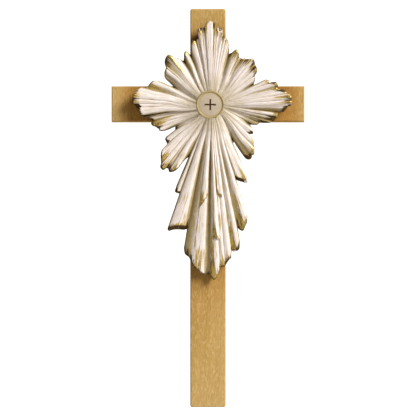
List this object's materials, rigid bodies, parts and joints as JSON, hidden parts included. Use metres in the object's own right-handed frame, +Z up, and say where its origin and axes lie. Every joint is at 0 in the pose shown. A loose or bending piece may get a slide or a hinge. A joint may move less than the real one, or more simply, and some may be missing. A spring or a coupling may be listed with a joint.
{
  "type": "wall cross with a carved ray relief",
  "caption": "Flat wooden wall cross with a carved, gilded relief of rays round a medallion, and a ring hanger on the back.",
  "frame": {"origin": "middle of the upright's flat foot end, half way through the bars' depth", "axes": "+Z up along the upright, +X to the viewer's right, +Y from the front towards the wall"},
  "size_m": [0.155, 0.0311, 0.32],
  "materials": {
    "beech": "planed light hardwood, satin oil, fine upright grain with short ray flecks",
    "carving": "carved wood painted pearly ivory, olive-tan patina in the folds, gilded tips, dark brown ends",
    "rim": "turned wood in dull antique gold",
    "medallion": "turned wood, matt beige-grey wash, dark brown in the engraved cross",
    "brass": "plated, satin",
    "steel": "zinc plated",
    "felt": "brown felt"
  },
  "bodies": {
    "cross": {"upright_beam": "beech", "crossbar": "beech", "ray_relief": "carving", "medallion_rim": "rim", "medallion_disc": "medallion", "relief_screws": "steel", "hanger_strap": "brass", "hanger_screws": "brass", "wall_pads": "felt"},
    "ring": {"hanger_ring": "brass"}
  },
  "joints": [
    {"name": "ring_swing", "type": "hinge", "parent": "cross", "child": "ring", "pos_m": [0, 0.00917, 0.301], "axis": [-1, 0, 0], "range_deg": [0, 175]}
  ]
}
